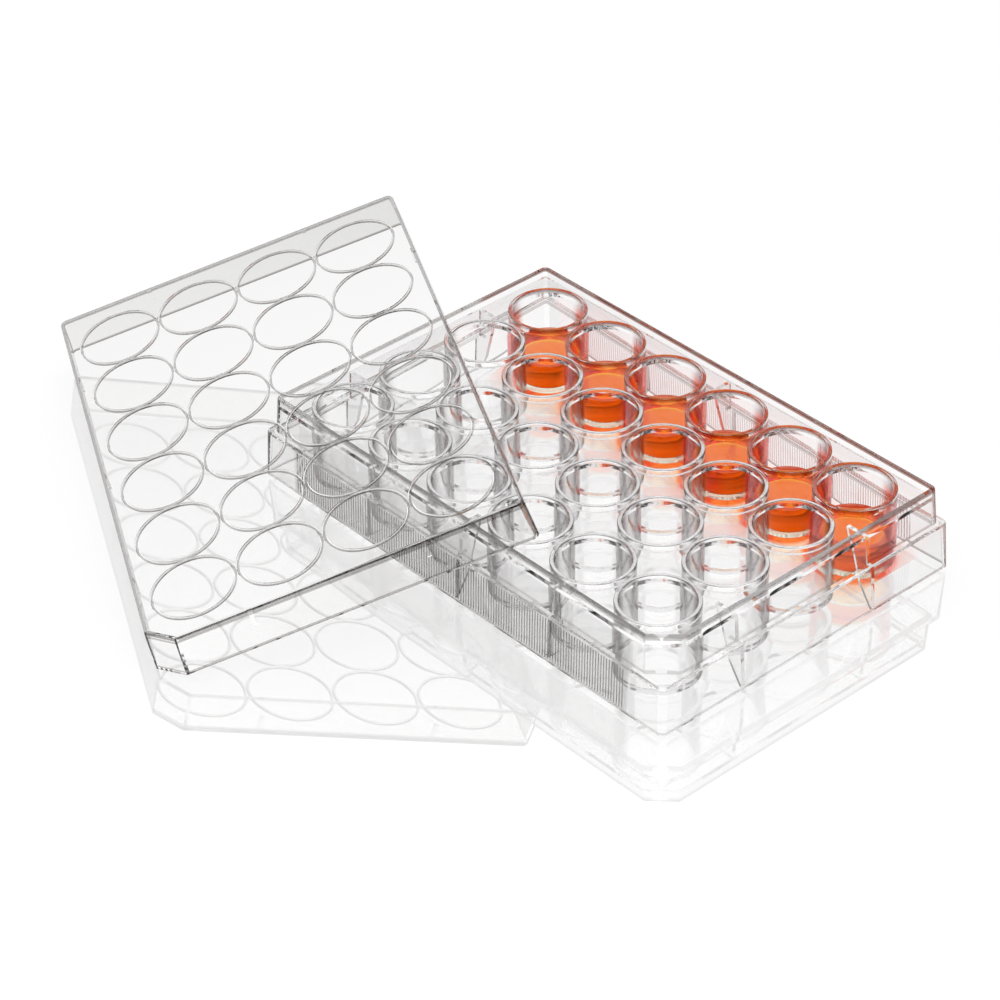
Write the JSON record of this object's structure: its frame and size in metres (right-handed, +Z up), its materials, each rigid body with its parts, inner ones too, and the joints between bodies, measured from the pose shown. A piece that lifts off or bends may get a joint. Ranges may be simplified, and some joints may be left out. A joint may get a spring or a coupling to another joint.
{
  "type": "well plate",
  "caption": "Clear multi-well culture plate with tapered wells and a skirt, its lid taken off and leaning on one corner, back row filled with orange medium.",
  "frame": {"origin": "centre of the plate's footprint, on the surface that it stands on", "axes": "+Z up, +X along the plate's long side towards its cut corner's end, +Y along the short side towards the filled row"},
  "size_m": [0.1949, 0.1475, 0.0334],
  "materials": {
    "plate": "clear polished polystyrene",
    "lid": "clear polished polystyrene",
    "medium": "clear orange-red liquid"
  },
  "bodies": {
    "root": {"plate": "plate", "lid": "lid", "medium_1": "medium", "medium_2": "medium", "medium_3": "medium", "medium_4": "medium", "medium_5": "medium", "medium_6": "medium"}
  },
  "joints": []
}
